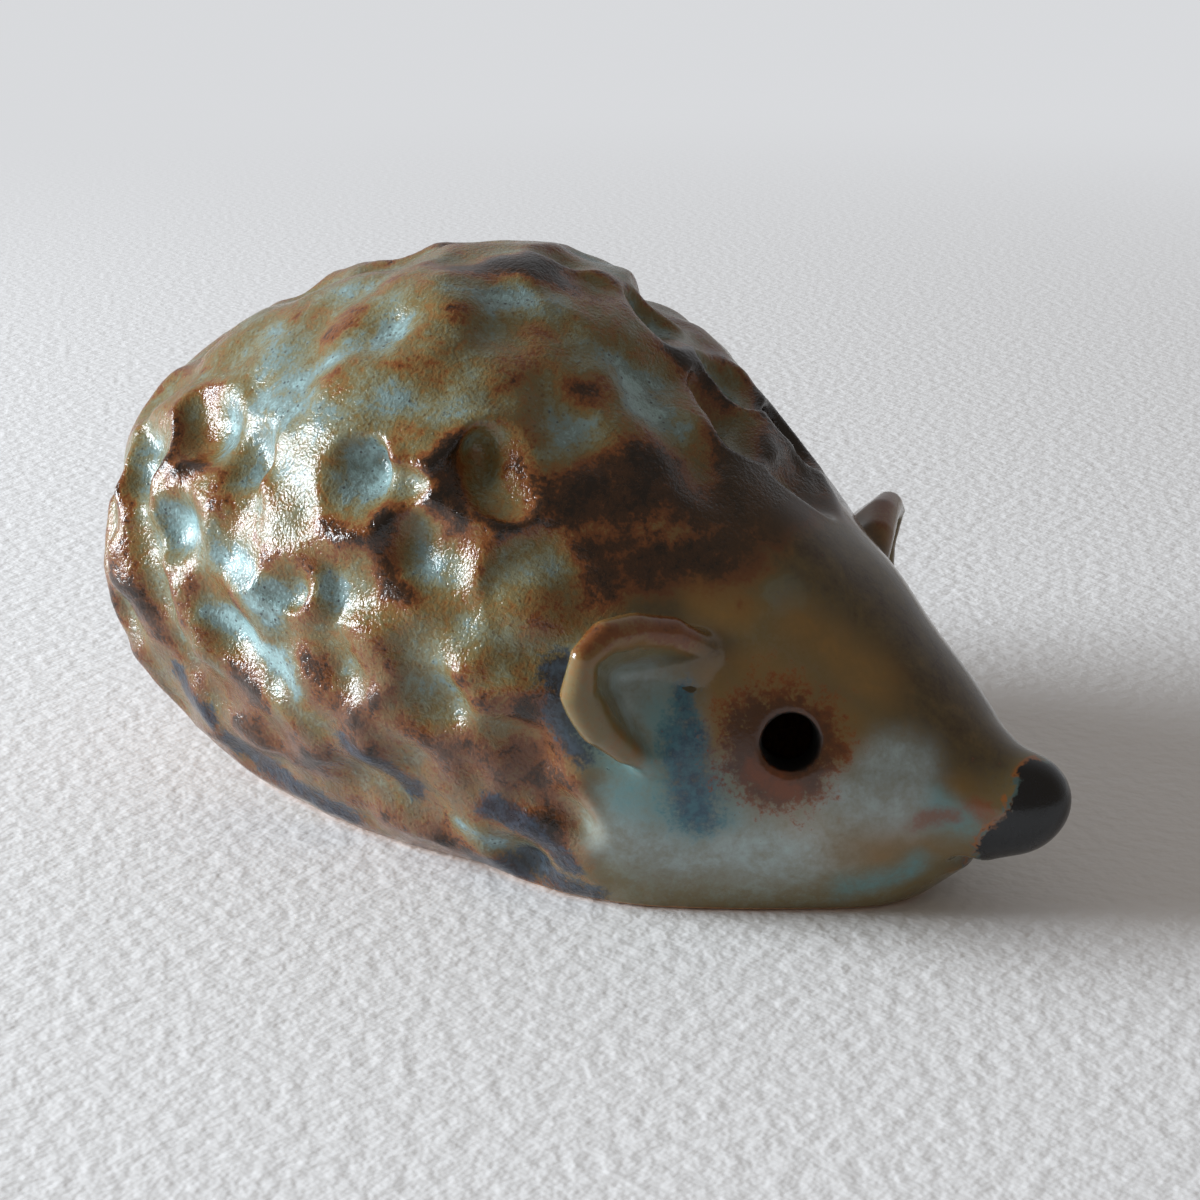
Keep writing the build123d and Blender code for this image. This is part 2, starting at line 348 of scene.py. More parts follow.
# how crisp a mark is goes with its depth: a shallow one is a soft dip, a deep one has a sharp edge and a lip
DEPTHS = [0.4, 1.2, 1.8]
EDGES = [1.2, 0.9, 0.55]
LIPS = [0.03, 0.22, 0.42]
LIP_WIDTH = 1.2
LIP_MARGIN = 4.0
# the crest is as high as the figurine may be, so lips stay low there
CREST_SPAN = [15, 40]
CREST_LIP = [0.25, 1.0]
# the deepest marks get a heel: a second press towards the rump, in shares of the mark's radius and depth
HEEL_DEPTH = 1.5
HEEL_BACK = 0.35
HEEL_RADIUS = 0.6
HEEL_SINK = 1.05

for place, angle, radius, depth in marks:
    part, away = swayed_reach(skin(place, angle), radius + LIP_MARGIN)
    lip = np.interp(depth, DEPTHS, LIPS) * np.interp(abs(angle), CREST_SPAN, CREST_LIP)
    clay[part] -= (lip * np.exp(-(((away - radius) / LIP_WIDTH) ** 2))).astype(np.float32)
for place, angle, radius, depth in marks:
    point = skin(place, angle)
    way = outward(point)
    edge = np.interp(depth, DEPTHS, EDGES)
    press(point, way, radius, depth, edge)
    if depth > HEEL_DEPTH:
        heel = point - np.array([HEEL_BACK * radius, 0, 0])
        press(heel, way, HEEL_RADIUS * radius, HEEL_SINK * depth, edge)

# small dents of a finger tip here and there between the thumb marks
DENTS = 70
DENT_ALONG = (4, 62)
DENT_ANGLE = (62, 125)
DENT_RADIUS = (1.3, 2.6)
DENT_DEPTH = (0.2, 0.5)
DENT_EDGE = 0.7
rng = np.random.default_rng(5)
for _ in range(DENTS):
    point = skin(rng.uniform(*DENT_ALONG), rng.choice([-1, 1]) * rng.uniform(*DENT_ANGLE))
    press(point, outward(point), rng.uniform(*DENT_RADIUS), rng.uniform(*DENT_DEPTH), DENT_EDGE)
print(len(marks), "thumb marks and", DENTS, "small dents pressed")

# %% [markdown]
# ## Ears, nose, mouth and eyes
#
# An ear is a small flap of clay stuck to the side of the head and cupped with a thumb, so that its rim
# stands as a C that is open towards the cheek. It is built like a fan: short ribs of clay from a root on
# the head out to the rim, close enough to run together. The flap is then joined with a filled corner, as
# wet clay is smoothed down at the root. The nose is an egg on the end of the snout. A shallow groove under
# it leaves the step of the mouth. Each eye is a round hole, straight through the wall.

# %% Ears
EAR_ALONG = 74.1
EAR_ANGLE = 72.0
# the rim from its front end over the tip to its lower end:
# x, degrees round the head, reach out of the head and thickness
EAR_RIM = [
    (20.4, 56, 0.2, 1.1), (18, 56.5, 2.0, 1.6), (15.8, 59.5, 3.8, 1.7), (14, 63.5, 5.6, 1.6),
    (12.9, 68.5, 6.8, 1.4), (13, 75, 5.4, 1.6), (14.6, 80, 3.6, 1.7), (16.3, 83, 1.8, 1.5),
    (17.8, 84.3, 0.2, 1.0),
]
EAR_LEAN = (0.54, -0.78, 0.32)
EAR_DRAWN_IN = 0.3
EAR_SINK = 1.2
EAR_RIBS = 49
EAR_CUP_RADIUS = 3.8
EAR_CUP_DEPTH = 1.0
EAR_CUP_EDGE = 1.4
EAR_FILLET = 1.4
LEFT_EAR_DROP = 4.0
EAR_SPAN = 13.0
OUT_OF_REACH = 9.0


def percent_along(x):
    """Where a place in millimetres lies along the body."""
    return (np.asarray(x, float) + RUMP_REACH) / BODY_LENGTH * 100


for side in (1, -1):
    steps = np.linspace(0, len(EAR_RIM) - 1, EAR_RIBS)
    columns = np.array(EAR_RIM).T
    x, angle, reach, thick = (np.interp(steps, np.arange(len(EAR_RIM)), column) for column in columns)
    foot = skin(percent_along(x), side * angle - (LEFT_EAR_DROP if side < 0 else 0))
    lean = np.array(EAR_LEAN) * (1, side, 1)
    middle = skin(EAR_ALONG, side * EAR_ANGLE)
    tips = foot + lean * reach[:, None]
    roots = foot + EAR_DRAWN_IN * (middle - foot) - EAR_SINK * lean
    press(middle, outward(middle), EAR_CUP_RADIUS, EAR_CUP_DEPTH, EAR_CUP_EDGE)
    centre = tips.mean(0)
    part, near = around(centre, EAR_SPAN)
    ear = np.full([n.size for n in near], OUT_OF_REACH)
    for root, tip, radius in zip(roots, tips, thick):
        rib = tip - root
        from_root = [n - (r - c) for n, r, c in zip(near, root, centre)]
        share = np.clip(sum(d * r for d, r in zip(from_root, rib)) / (rib @ rib), 0, 1)
        away = np.sqrt(sum((d - share * r) ** 2 for d, r in zip(from_root, rib)))
        ear = np.minimum(ear, away - radius)
    clay[part] = soften_min(clay[part], ear.astype(np.float32), EAR_FILLET)
    print("ear tip at", tips[np.argmax(reach)].round(1))

# %% Nose, mouth and eyes
SNOUT_LENGTHENING = 0.6
SNOUT_EDGE = 1.2
NOSE_FILLET = 2.4
NOSE_SPAN = 12.0
MOUTH_X = 38.4
MOUTH_HEIGHT = 4.6
MOUTH_RADIUS = 0.9
MOUTH_EDGE = 0.6
EYE_ALONG = 86.0
EYE_ANGLE = 70.5
EYE_RADIUS = 2.0
EYE_DEPTH = 14.0
EYE_EDGE = 0.6
EYE_MARGIN = 4.0

part, (dx, dy, dz) = around((NOSE_MIDDLE, 0, NOSE_HEIGHT), NOSE_SPAN)
radii = (NOSE_HALF_LENGTH, NOSE_RADIUS, NOSE_RADIUS)
ahead = dx * math.cos(NOSE_TILT) + dz * math.sin(NOSE_TILT)
above = dz * math.cos(NOSE_TILT) - dx * math.sin(NOSE_TILT)
share = np.sqrt(sum((d / r) ** 2 for d, r in zip((ahead, dy, above), radii)))
slope = np.sqrt(sum((d / r**2) ** 2 for d, r in zip((ahead, dy, above), radii)))
nose = share * (share - 1) / np.maximum(slope, SLOPE_FLOOR)
clay = soften_max(clay, (X - NOSE_SEAT - SNOUT_LENGTHENING).astype(np.float32) + 0 * clay, SNOUT_EDGE)
clay[part] = soften_min(clay[part], nose.astype(np.float32), NOSE_FILLET)

groove = MOUTH_RADIUS - np.sqrt((X - MOUTH_X) ** 2 + (Z - MOUTH_HEIGHT) ** 2) + 0 * Y
clay = soften_max(clay, groove.astype(np.float32), MOUTH_EDGE)

openings = [skin(EYE_ALONG, side * EYE_ANGLE) for side in (1, -1)]
for opening in openings:
    way = outward(opening)
    part, near = around(opening, EYE_DEPTH + EYE_MARGIN)
    deep = sum(d * w for d, w in zip(near, way))
    wide_off = np.sqrt(np.maximum(sum(d**2 for d in near) - deep**2, 0))
    bore = np.minimum(EYE_RADIUS - wide_off, deep + EYE_DEPTH)
    clay[part] = soften_max(clay[part], bore.astype(np.float32), EYE_EDGE)
print("eyes", 2 * EYE_RADIUS, "mm across")

# %% [markdown]
# ## Uneven hands, a hollow inside and a flat foot
#
# Nothing pressed by hand is even, so the whole surface gets a slow wobble of a fraction of a millimetre.
# Then the inside is hollowed to the wall's thickness, down to the floor slab, and the foot is cut flat
# where it stands.

# %% Wobble, hollow and foot
WOBBLE = 0.22
WOBBLE_MEAN = 0.75
WOBBLE_LENGTH = 11.0
# a finer unevenness of the back, of which little is left on the face
HANDLING = 0.07
HANDLING_LENGTH = 3.2
HANDLING_FADES = (16, 10)
HANDLING_LEFT = 0.1
WALL = 5.0
SLAB = 4.5
SLAB_OVERLAP = 0.3
HOLLOW_END = 30.0
FOOT_EDGE = 0.6
HALF_SPAN = 26.7
TOP = 50.4
BOX_GAP = 0.03
# the last millimetres under the top are eased down, so that the box never cuts the crest flat
EASE_FROM = 48.4
EASE_OVER = 2.0
EASE = 0.28
PRESSED_LEAST = -1.0
PRESSED_MOST = 2.5

smooth_body = lump(X, Y, Z).astype(np.float32)
uneven = WOBBLE * (WOBBLE_MEAN + ripple(X, Y, Z, WOBBLE_LENGTH, seed=4))
handled = np.maximum(ramp(X, *HANDLING_FADES), HANDLING_LEFT)
uneven = uneven + HANDLING * ripple(X, Y, Z, HANDLING_LENGTH, seed=6, waves=20) * handled
uneven = uneven + EASE * np.clip(Z - EASE_FROM, 0, EASE_OVER)
skin_clay = clay + uneven.astype(np.float32)
pressed = np.clip(skin_clay - smooth_body, PRESSED_LEAST, PRESSED_MOST)
room = np.maximum(np.maximum(smooth_body + WALL, SLAB - SLAB_OVERLAP - Z), X - HOLLOW_END)
outer = soften_max(skin_clay, -Z.astype(np.float32) + 0 * skin_clay, FOOT_EDGE)
box = np.maximum(np.maximum(np.abs(X) - RUMP_REACH, np.abs(Y) - HALF_SPAN), Z - TOP) + BOX_GAP
clay = np.maximum(np.maximum(outer, -room), box).astype(np.float32)
print("clay fills", round(float((clay < 0).mean() * clay.size * CELL**3 / 1000), 1), "cm3")

# %% [markdown]
# ## From clay to mesh
#
# *Surface nets* put one point in every cell that the surface passes through, at the mean of the places
# where it crosses the cell's edges, and join the points of neighbouring cells. The points are then slid
# along the slope of the field until they lie on the surface. Blender could do this with a Volume to Mesh
# modifier, but the slope of the field also gives every point its exact normal, and those normals stay true
# where pieces are cut apart.


# %% Pull the mesh out of the block
def sample(grid, points):
    """The block's value at any points, blended from the eight cells round each."""
    place = (points - low) / CELL
    base = np.clip(np.floor(place).astype(int), 0, np.array(grid.shape) - 2)
    t = place - base
    total = 0
    for corner in np.ndindex(2, 2, 2):
        weight = np.prod(np.where(corner, t, 1 - t), axis=1)
        total = total + weight * grid[tuple((base + corner).T)]
    return total


def surface_net(grid):
    """Points and triangles of the surface where the grid changes sign."""
    solid = grid < 0
    shape = np.array(grid.shape) - 1
    corners = list(np.ndindex(2, 2, 2))
    shifted = [solid[tuple(slice(c, c + n) for c, n in zip(corner, shape))] for corner in corners]
    count = sum(part.astype(np.int8) for part in shifted)
    cells = np.argwhere((count > 0) & (count < 8))
    number = np.full(shape, -1)
    number[tuple(cells.T)] = np.arange(len(cells))
    total = np.zeros((len(cells), 3))
    crossings = np.zeros(len(cells))
    for corner in corners:
        for axis in range(3):
            if corner[axis]:
                continue
            start = cells + corner
            end = start + np.eye(3, dtype=int)[axis]
            a, b = grid[tuple(start.T)], grid[tuple(end.T)]
            hit = (a < 0) != (b < 0)
            t = np.where(hit, a / np.where(hit, a - b, 1), 0)
            total += hit[:, None] * (start + t[:, None] * (end - start))
            crossings += hit
    points = low + CELL * total / crossings[:, None]
    triangles = []
    for axis in range(3):
        step = np.eye(3, dtype=int)
        u, v = step[(axis + 1) % 3], step[(axis + 2) % 3]
        near = solid[tuple(slice(0, -1) if k == axis else slice(1, -1) for k in range(3))]
        far = solid[tuple(slice(1, None) if k == axis else slice(1, -1) for k in range(3))]
        edges = np.argwhere(near != far) + 1 - step[axis]
        leaving = near[near != far]
        ring = [number[tuple((edges - shift).T)] for shift in (0 * u, u, u + v, v)]
        quads = np.stack(ring, 1)
        quads[~leaving] = quads[~leaving][:, ::-1]
        triangles += [quads[:, [0, 1, 2]], quads[:, [0, 2, 3]]]
    return points, np.concatenate(triangles)


def settle(grid):
    """Fills one empty corner of each cell face whose corners alternate, where a net would touch itself."""
    filled = 0
    steps = np.eye(3, dtype=int)
    for u, v in ((0, 1), (0, 2), (1, 2)):
        ends = np.array(grid.shape) - steps[u] - steps[v]
        faces = [(0 * steps[u], steps[u] + steps[v]), (steps[u], steps[v])]
        (a, d), (b, c) = [[grid[tuple(map(slice, s, s + ends))] for s in pair] for pair in faces]
        odd = ((a < 0) == (d < 0)) & ((b < 0) == (c < 0)) & ((a < 0) != (b < 0))
        for cell in np.argwhere(odd):
            corners = [tuple(cell + step) for pair in faces for step in pair]
            empty = [corner for corner in corners if grid[corner] >= 0]
            if len(empty) == 2:
                lighter = min(empty, key=lambda corner: grid[corner])
                grid[lighter] = -max(grid[lighter], LEAST_FILL)
                filled += 1
    return filled


LEAST_FILL = 0.01
SETTLE_ROUNDS = 12
SLIDES = 3
SLIDE_SHARE = 0.8
for _ in range(SETTLE_ROUNDS):
    if not settle(clay):
        break
points, triangles = surface_net(clay)
slopes = [slope.astype(np.float32) for slope in np.gradient(clay, CELL)]


def normals_at(points):
    """Unit normals of the clay at points on it."""
    return unit(np.stack([sample(slope, points) for slope in slopes], 1))


for _ in range(SLIDES):
    slide = np.clip(sample(clay, points), -CELL / 2, CELL / 2)
    points = points - SLIDE_SHARE * slide[:, None] * normals_at(points)
points[:, 2] = np.maximum(points[:, 2], 0)
print(len(points), "points,", len(triangles), "triangles")

# %% [markdown]
# ## Cutting the sculpt into its clay pieces
#
# The real figurine was built from separate lumps that were pressed together: two pots, a floor, two ears
# and a nose. The sculpt is cut along the same joints, so each piece stands for a CAD node, and the large
# back is parted once more into two. A cut splits the triangles that it crosses, and the open ends are
# closed with a cap. Blender's `triangle_fill` closes rings with holes too.


# %% Cut and cap
def cap(points, edges):
    """Triangles that close the loops of edges."""
    used, place = np.unique(edges, return_inverse=True)
    bm = bmesh.new()
    corners = [bm.verts.new(p) for p in points[used]]
    for a, b in place.reshape(-1, 2):
        if a != b and not bm.edges.get((corners[a], corners[b])):
            bm.edges.new((corners[a], corners[b]))
    bm.verts.index_update()
    bmesh.ops.triangle_fill(bm, use_beauty=True, use_dissolve=False, edges=bm.edges[:])
    faces = np.array([[corner.index for corner in face.verts] for face in bm.faces]).reshape(-1, 3)
    bm.free()
    return used[faces]


def face_normals(points, faces):
    """Unit normals of triangles."""
    a, b, c = (points[faces[:, k]] for k in range(3))
    return unit(np.cross(b - a, c - a))


ON_THE_CUT = 1e-4
PROBE = 0.2


def cut(piece, measure):
    """Splits a closed piece where measure(points) changes sign: the part below zero, then the part above."""
    points, faces, is_cap = piece
    side = measure(points)
    side = np.where(np.abs(side) < ON_THE_CUT, ON_THE_CUT, side)
    above = side > 0
    count = above[faces].sum(1)
    crossed = (count == 1) | (count == 2)
    mixed, mixed_cap = faces[crossed], is_cap[crossed]
    lone_above = above[mixed].sum(1) == 1
    lone = np.argmax(above[mixed] == lone_above[:, None], 1)
    rows = np.arange(len(mixed))
    a, b, c = (mixed[rows, (lone + k) % 3] for k in range(3))
    ends = np.sort(np.stack([np.r_[a, a], np.r_[b, c]], 1), 1)
    pairs, place = np.unique(ends, axis=0, return_inverse=True)
    start, end = pairs.T
    t = (side[start] / (side[start] - side[end]))[:, None]
    fresh = points[start] * (1 - t) + points[end] * t
    ab, ac = (len(points) + place.reshape(-1)).reshape(2, -1)
    points = np.concatenate([points, fresh])
    tips = np.stack([a, ab, ac], 1)
    rests = [np.stack([ab, b, c], 1), np.stack([ab, c, ac], 1)]
    lid = cap(points, np.stack([ab, ac], 1))
    middle = points[lid].mean(1)
    facing = PROBE * face_normals(points, lid)
    outward_of_low = measure(middle + facing) > measure(middle - facing)
    lid = np.where(outward_of_low[:, None], lid, lid[:, ::-1])
    halves = []
    for want_above in (False, True):
        whole = count == (3 if want_above else 0)
        tip = lone_above == want_above
        lids = lid[:, ::-1] if want_above else lid
        new_faces = [faces[whole], tips[tip], rests[0][~tip], rests[1][~tip], lids]
        new_caps = [is_cap[whole], mixed_cap[tip], mixed_cap[~tip], mixed_cap[~tip], np.ones(len(lid), bool)]
        joined = np.concatenate(new_faces)
        used, place_of = np.unique(joined, return_inverse=True)
        halves.append((points[used], place_of.reshape(-1, 3), np.concatenate(new_caps)))
    return halves


SEAM_FOOT = 9.5
SEAM_LEAN = math.radians(4.5)
BACK_PARTING = -17.0
EAR_CUT_OUT = 6.0
EAR_CUT_RADIUS = 9.5


def ear_cut(side):
    """Distance to the ball round an ear that parts it from the head just under the skin."""
    root = skin(EAR_ALONG, side * EAR_ANGLE)
    centre = root + outward(root) * EAR_CUT_OUT
    return lambda p: np.linalg.norm(p - centre, axis=1) - EAR_CUT_RADIUS


def seam_cut(p):
    """Distance in front of the leaning seam between the two pots."""
    return (p[:, 0] - SEAM_FOOT) * math.cos(SEAM_LEAN) - p[:, 2] * math.sin(SEAM_LEAN)


whole = (points, triangles, np.zeros(len(triangles), bool))
rest, nose_piece = cut(whole, lambda p: p[:, 0] - NOSE_SEAT)
slab_piece, rest = cut(rest, lambda p: p[:, 2] - SLAB)
back_piece, rest = cut(rest, seam_cut)
rear_piece, shoulder_piece = cut(back_piece, lambda p: p[:, 0] - BACK_PARTING)
right_piece, rest = cut(rest, ear_cut(1))
left_piece, face_piece = cut(rest, ear_cut(-1))
clay_pieces = {
    "back_shell_rear": (rear_piece, "quill_glaze"),
    "back_shell_shoulder": (shoulder_piece, "quill_glaze"),
    "face_shell": (face_piece, "face_glaze"),
    "base_slab": (slab_piece, "quill_glaze"),
    "right_ear": (right_piece, "face_glaze"),
    "left_ear": (left_piece, "face_glaze"),
    "nose_tip": (nose_piece, "nose_glaze"),
}
for name, (piece, _) in clay_pieces.items():
    edges = np.sort(np.concatenate([piece[1][:, [0, 1]], piece[1][:, [1, 2]], piece[1][:, [2, 0]]]), 1)
    shared = np.unique(edges, axis=0, return_counts=True)[1]
    print(name, len(piece[1]), "triangles,", int((shared != 2).sum()), "open edges")

# %% [markdown]
# ## Where the glaze runs
#
# A reactive glaze takes its colour from its own thickness. Where it is thin, on ridges, the iron in it
# burns brown and rust. It turns ochre and olive as it thickens, and sage and pale blue in the pools. So one
# number, *thickness*, is worked out for every point of the clay: more in the hollows, less on the ridges,
# and more or less again along painted streaks, each a line of places along and round the body. A few dark
# streaks lie on the shaded left walls of deep marks and are painted shade. How much the clay bulges is read
# from a blurred copy of the field. Patches in colours of their own, most of them on the face, are brushed
# on in the same way, and one more patch is painted shade.


# %% Glaze measures
def blur(grid, reach):
    """Mean over a cube of cells."""
    for axis in range(3):
        pad = [(reach + 1, reach) if k == axis else (0, 0) for k in range(3)]
        total = np.cumsum(np.pad(grid, pad, mode="edge"), axis=axis)
        count = grid.shape[axis]
        width = 2 * reach + 1
        ends = np.take(total, np.arange(width, count + width), axis)
        grid = (ends - np.take(total, np.arange(count), axis)) / width
    return grid


BULGE_REACH = 2
RIM_REACH = 5
bulge = blur(blur(clay, BULGE_REACH), BULGE_REACH)
rims = blur(blur(pressed, RIM_REACH), RIM_REACH) - pressed


def unpressed(points):
    """The nearest places on the smooth lump, and how far below it the points lie."""
    depth = lump(*points.T)
    return points - depth[:, None] * outward(points, reach=0.1), -depth


def around_body(points):
    """Degrees round the body from the crest, positive to its right."""
    x, y, z = points.T
    half = np.sqrt(np.maximum(girth_at(x)[0], 1e-3))
    mid = waist_at(x)[0]
    ratio = np.where(z > mid, rise_at(x)[0], drop_at(x)[0])
    return np.degrees(np.arctan2(-y / half, (z - mid) / (half * np.sqrt(ratio))))


STEPS_BETWEEN = 12


def brush(strokes, points, edge=None):
    """How strongly strokes cover the points: fading over an edge in millimetres, or else from the middle."""
    cover = np.zeros(len(points))
    for width, path in strokes:
        soft = edge or 2 * width
        x, angle = np.array(path, float).T
        steps = np.linspace(0, len(x) - 1, STEPS_BETWEEN * (len(x) - 1) + 1)
        knots = np.arange(len(x))
        line = skin(percent_along(np.interp(steps, knots, x)), np.interp(steps, knots, angle))
        reach = width + soft / 2
        near = np.flatnonzero(np.all((points > line.min(0) - reach) & (points < line.max(0) + reach), axis=1))
        gap = np.sqrt(((points[near, None] - line) ** 2).sum(2)).min(1) if len(near) else np.zeros(0)
        t = np.clip((reach - gap) / soft, 0, 1)
        cover[near] = np.maximum(cover[near], t * t * (3 - 2 * t))
    return cover


# what each kind of streak adds to the thickness, over how many millimetres its edge fades, and its strokes:
# half the width in millimetres, then places as x and degrees round the body
STREAKS = {
    "pools": (0.26, 3.2, [
        (2.4, [(-21, 52), (-17, 53), (-12, 54), (-9, 55)]),
        (2.0, [(-8, 47), (-4, 46), (-1, 44), (2, 42)]), (1.0, [(2, 41), (4, 40), (6, 40)]),
        (1.8, [(9, 29), (7.5, 33), (7, 38)]), (1.7, [(4, 16), (7, 14), (9, 14), (12, 14)]),
        (1.4, [(2, 22), (5, 21)]), (2.0, [(-7, 21), (-4, 19), (0, 14)]),
        (2.4, [(-12, 28), (-10, 32), (-10, 36)]), (2.0, [(-25, 32), (-22, 38)]),
        (1.6, [(-19, 44), (-15, 42), (-14, 38)]), (1.4, [(-20, 22), (-17, 22)]),
        (1.6, [(-15, 62), (-13, 63)]), (1.6, [(-8, 63), (-6, 61)]), (1.6, [(0, 69), (2, 67)]),
        (1.4, [(-25, 50), (-24, 56)]), (1.2, [(8, 59), (10, 58)]), (1.6, [(-28, 98), (-24, 101)]),
        (1.6, [(-15, 103), (-12, 107)]), (2.0, [(-30, 72), (-27, 76), (-22, 78)]),
    ]),
    "turquoise": (0.5, 2.4, [
        (1.2, [(-24, 91), (-20, 92.5), (-16, 95), (-13.5, 97), (-12.5, 100)]),
        (2.0, [(-19, 80), (-17, 83), (-15, 85)]), (0.8, [(-9, 78), (-8.5, 80)]),
        (1.0, [(2, 121), (3.5, 122)]),
    ]),
    "spot": (0.12, 0.9, [(1.8, [(24, 33)])]),
    "glow in the dark": (0.13, 1.6, [(1.9, [(15.4, 16)]), (1.2, [(14, 40), (16, 36)])]),
    "rust": (-0.17, 2.6, [
        (1.6, [(-18, 33), (-13, 31)]), (1.0, [(-13, 47), (-12.5, 49)]), (1.4, [(-6, 41), (-3, 43)]),
        (1.5, [(0, 26), (1, 28)]), (1.2, [(1.5, 45), (4, 43.5)]), (2.2, [(5, 54), (7.5, 52), (8, 46)]),
        (1.6, [(-25, 86), (-23, 88)]), (2.4, [(-26, 107), (-20, 112), (-14, 118)]),
        (3.0, [(3, 103), (6, 106)]), (1.3, [(-2, 121), (-1, 127), (2, 131)]),
        (1.4, [(-12, 91), (-9, 93)]), (1.2, [(-10, 69), (-6, 70), (-3, 72)]),
        (1.8, [(-35, 93), (-32, 98)]), (1.2, [(-40, 72), (-39, 80)]),
        (1.2, [(19, 56), (16, 59), (13.6, 64)]),
    ]),
    # thin glaze burnt dark brown, and on the left walls of some deep marks painted shade
    "dark": (-0.36, 4.0, [
        (4.2, [(11, 38), (14, 30), (17, 20), (19.5, 6)]),
        (3.0, [(12.5, 52), (15, 47), (18.5, 38), (20, 30)]), (2.2, [(21, 18), (20, 2), (17, -8)]),
        (1.6, [(1, 20), (2, 23)]), (1.3, [(6, 24), (7, 24)]), (2.0, [(-8, 13), (-5, 8), (-2, 4)]),
        # painted shade on the left walls of two deep marks of the flank
        (1.2, [(1.2, 46), (0.4, 51), (0.8, 57)]), (1.2, [(-3.5, 66), (-3.6, 71), (-2, 76)]),
        # the first stroke is painted shade on the left wall of a deep mark towards the rump
        (1.3, [(-28.8, 47), (-28.2, 54), (-26.8, 62)]), (1.3, [(0, 61), (3, 62)]),
        (1.7, [(9, 92), (10, 98), (11, 104)]), (1.6, [(9, 84), (10.5, 89)]),
        (1.3, [(-21, 103), (-18, 105)]), (1.6, [(8, -4), (12, -6)]), (0.5, [(21.5, 41)]),
    ]),
    "mouth": (-0.34, 0.8, [(0.35, [(36, 90), (36.6, 90)]), (0.4, [(37.3, 90), (38.7, 89)])]),
}
# patches in colours of their own, and one of painted shade, which fade from their middle: half the width,
# then places as above
PATCHES = {
    "pale": [
        (3.4, [(17, 101), (20, 104), (25, 105), (28, 103)]), (2.4, [(31.5, 86), (35.5, 81)]),
        (2.2, [(33.5, 67), (35.5, 60)]), (2.2, [(16.5, 71), (19, 75)]), (2.0, [(22, 96), (24, 97)]),
    ],
    "teal": [
        (1.8, [(19, 72), (19.5, 80), (18.5, 90)]), (1.6, [(22.8, 84), (23, 93)]),
        (1.4, [(31, 126), (36, 124)]), (1.2, [(13.7, 83), (15.8, 87), (17, 90)]),
        (2.2, [(17, 93), (21, 95)]), (1.6, [(37.5, 84), (39, 95)]),
    ],
    "gold": [
        (2.0, [(21.6, 64), (22.0, 74), (23.2, 82)]), (1.8, [(29.8, 60), (30.6, 70)]),
        (1.8, [(23.5, 56), (27, 54)]), (2.2, [(25.5, 39), (28, 36), (31, 37)]),
        (2.6, [(31, 103), (35, 103), (38, 100)]), (1.5, [(28, 95), (29.5, 97)]),
        (1.3, [(38.8, 66), (39.3, 76)]), (1.6, [(20, 47), (22, 44)]),
    ],
    # painted shade: darkens the top of the snout and the front end of the ear
    "painted_shade": [(8.0, [(23, 5), (30, 4), (37, 0)]), (3.0, [(20.5, 57), (18, 56)])],
    "rust_dabs": [
        (1.2, [(25, 82), (27.8, 84)]), (0.9, [(36, 91), (38.6, 90)]), (1.1, [(39.6, 76), (40.4, 80)]),
    ],
    "ring": [(4.5, [(26.3, 71), (26.5, 73.5)])],
    "run": [
        (1.3, [(19.8, 68), (20.4, 75)]), (2.0, [(20.5, 78), (20.9, 84)]), (2.6, [(21.2, 88), (21.3, 93)]),
    ],
    "navy": [
        (1.8, [(11.3, 74), (12, 80), (13.3, 86)]), (1.9, [(-25, 124), (-19, 129), (-13, 132)]),
        (1.5, [(-8, 108), (-5, 112), (-3.5, 118)]), (1.6, [(5.5, 111), (8.5, 112), (11, 116)]),
        (2.0, [(3, 131), (8, 127), (12, 125)]), (1.3, [(-30, 112), (-27, 118)]),
    ],
}
# where the quilled back ends and the smooth face begins
FUR_ANGLE = [0, 17, 35, 52, 74, 95, 130, 180]
FUR_X = [20.4, 19.9, 20.4, 15.4, 11.2, 13.2, 12.2, 12]
FUR_EDGE = (-1.5, 1.5)
# the thickness on an even part of the back, and what ridges, rims, the underside and the face change in it
OLIVE = 0.47
RIDGE_LOSS = 0.16
RIDGE_HEIGHT = 0.35
RIDGE_RANGE = (-0.5, 1.8)
RIM_LOSS = 0.16
RIM_HEIGHT = 0.7
RIM_RANGE = (-0.8, 1.4)
LOW_LOSS = 0.11
LOW_ANGLES = (82, 102)
LOW_PLACES = (15, 9)
FACE_GAIN = 0.05
# how much calmer the mottling is on the face and in dark streaks
FACE_CALM = 0.7
DARK_CALM = 1.6
DARKEST = 0.36
# how far strokes wander, and how near the crest they stay on their own side
WANDER = 0.5
WANDER_LENGTHS = (6.0, 2.5)
CREST_BAND = 12
# the dark end of the snout
NOSE_EDGE = (39.5, 42.5)
NOSE_SLANT = 0.46
NOSE_RAGGED = 0.9
NOSE_RAGGED_LENGTH = 5.0
# painted shade darkens an eye hole over these places along its axis, and as far round it as the halo
HOLE_DEPTHS = (0.1, -0.6)
HOLE_HALO = 0.4
# clay is bare this low over the paper and this deep inside, and patches fade this far out of the smooth lump
BARE_HEIGHTS = (0.5, 0.2)
BARE_INSIDE = 0.9 * WALL
PAINTED_DEPTHS = (-2.2, -1.0)


def streaked(points):
    """What the streaks add to the glaze and take from it."""
    more = np.zeros(len(points))
    less = np.zeros(len(points))
    for amount, soft, strokes in STREAKS.values():
        cover = amount * brush(strokes, points, soft)
        more = np.maximum(more, cover)
        less = np.minimum(less, cover)
    return more + less


